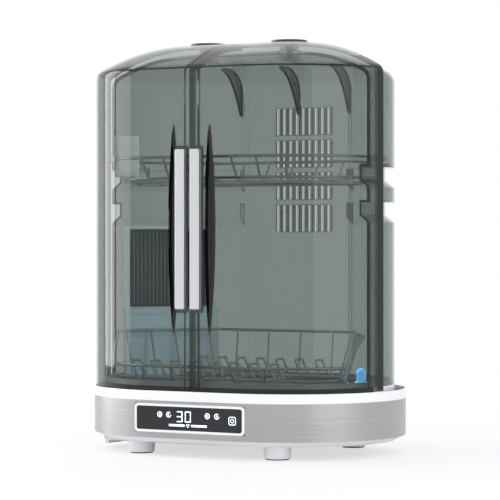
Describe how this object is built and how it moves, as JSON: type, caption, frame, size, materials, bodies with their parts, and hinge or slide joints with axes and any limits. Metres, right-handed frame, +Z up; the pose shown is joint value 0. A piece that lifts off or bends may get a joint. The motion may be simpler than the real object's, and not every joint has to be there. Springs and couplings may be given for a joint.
{
  "type": "dish drainer cabinet",
  "caption": "Countertop cabinet that dries and stores dishes: clear smoked casing, two turning clear doors, wire racks, cutlery holder, drip tray and a base with a touch panel.",
  "frame": {"origin": "on the table under the middle of the cabinet's plan, halfway between the two door pivots", "axes": "+Z up, -Y the front with the doors, +X to the right as seen from the front"},
  "size_m": [0.416, 0.3026, 0.5246],
  "materials": {
    "white_gloss": "glossy white moulding",
    "white_matte": "satin white moulding",
    "brushed_steel": "brushed along the band",
    "smoked_door": "clear smoked plastic, glossy",
    "smoked_casing": "clear smoked plastic, glossy",
    "black_trim": "satin black",
    "black_glass": "glossy black",
    "handle_silver": "satin silver",
    "bezel_dark": "dark",
    "cap_dark": "dark, satin",
    "chromed_wire": "bright wire",
    "pan_steel": "pressed sheet",
    "tray_plastic": "satin grey white",
    "holder_plastic": "pale",
    "duct_grey": "satin grey",
    "louvre_dark": "dark ribs",
    "foot_rubber": "matt black",
    "steel_part": "plain steel",
    "circuit_green": "circuit board",
    "lamp_glass": "clear, lit blue",
    "heater_metal": "finned",
    "fan_black": "black moulding"
  },
  "bodies": {
    "base": {"base_shell": "white_matte", "feet": "white_matte", "foot_pads": "foot_rubber", "steel_band": "brushed_steel", "top_ring": "white_gloss", "door_track": "black_trim", "sill_strip": "black_trim", "base_screws": "steel_part", "floor_pan": "pan_steel", "drain_spout": "white_matte", "display_frame": "white_gloss", "display_panel": "black_glass", "control_board": "circuit_green", "power_board": "circuit_green", "power_inlet": "black_trim", "tray_rails": "white_matte", "air_duct": "duct_grey", "duct_louvre": "louvre_dark", "fan_frame": "fan_black", "heater_block": "heater_metal", "lamp_holder": "white_matte", "uv_lamp": "lamp_glass", "rear_casing": "smoked_casing", "pivot_pins": "steel_part"},
    "right_door_body": {"right_door": "smoked_door", "right_pivot_bush": "white_matte", "right_pivot_cap": "cap_dark", "right_handle_bezel": "bezel_dark", "right_handle": "handle_silver", "right_handle_screws": "steel_part", "right_door_guides": "black_trim"},
    "left_door_body": {"left_door": "smoked_door", "left_pivot_bush": "white_matte", "left_pivot_cap": "cap_dark", "left_handle_bezel": "bezel_dark", "left_handle": "handle_silver", "left_handle_screws": "steel_part", "left_door_guides": "black_trim"},
    "lower_rack_body": {"lower_rack": "chromed_wire", "lower_floor_wires": "chromed_wire", "lower_fence_wires": "chromed_wire", "plate_dividers": "chromed_wire"},
    "upper_rack_body": {"upper_rack": "chromed_wire", "upper_floor_wires": "chromed_wire", "upper_fence_wires": "chromed_wire"},
    "cutlery_body": {"cutlery_holder": "holder_plastic"},
    "drip_tray_body": {"drip_tray": "tray_plastic"},
    "fan_body": {"fan_rotor": "fan_black"}
  },
  "joints": [
    {"name": "right_door_hinge", "type": "hinge", "parent": "base", "child": "right_door_body", "pos_m": [0.06, 0, 0.5], "axis": [0, 0, 1], "range_deg": [0, 90]},
    {"name": "left_door_hinge", "type": "hinge", "parent": "base", "child": "left_door_body", "pos_m": [-0.06, 0, 0.5], "axis": [0, 0, -1], "range_deg": [0, 90]},
    {"name": "lower_rack_lift", "type": "slide", "parent": "base", "child": "lower_rack_body", "axis": [0, 0, 1], "range_m": [0, 0.02]},
    {"name": "upper_rack_lift", "type": "slide", "parent": "base", "child": "upper_rack_body", "axis": [0, 0, 1], "range_m": [0, 0.02]},
    {"name": "cutlery_holder_lift", "type": "slide", "parent": "upper_rack_body", "child": "cutlery_body", "axis": [0, 0, 1], "range_m": [0, 0.03]},
    {"name": "drip_tray_slide", "type": "slide", "parent": "base", "child": "drip_tray_body", "axis": [-1, 0, 0], "range_m": [0, 0.13]},
    {"name": "fan_spin", "type": "hinge", "parent": "base", "child": "fan_body", "pos_m": [-0.13484, 0.04042, 0.068], "axis": [0, 0, 1], "continuous": true}
  ]
}
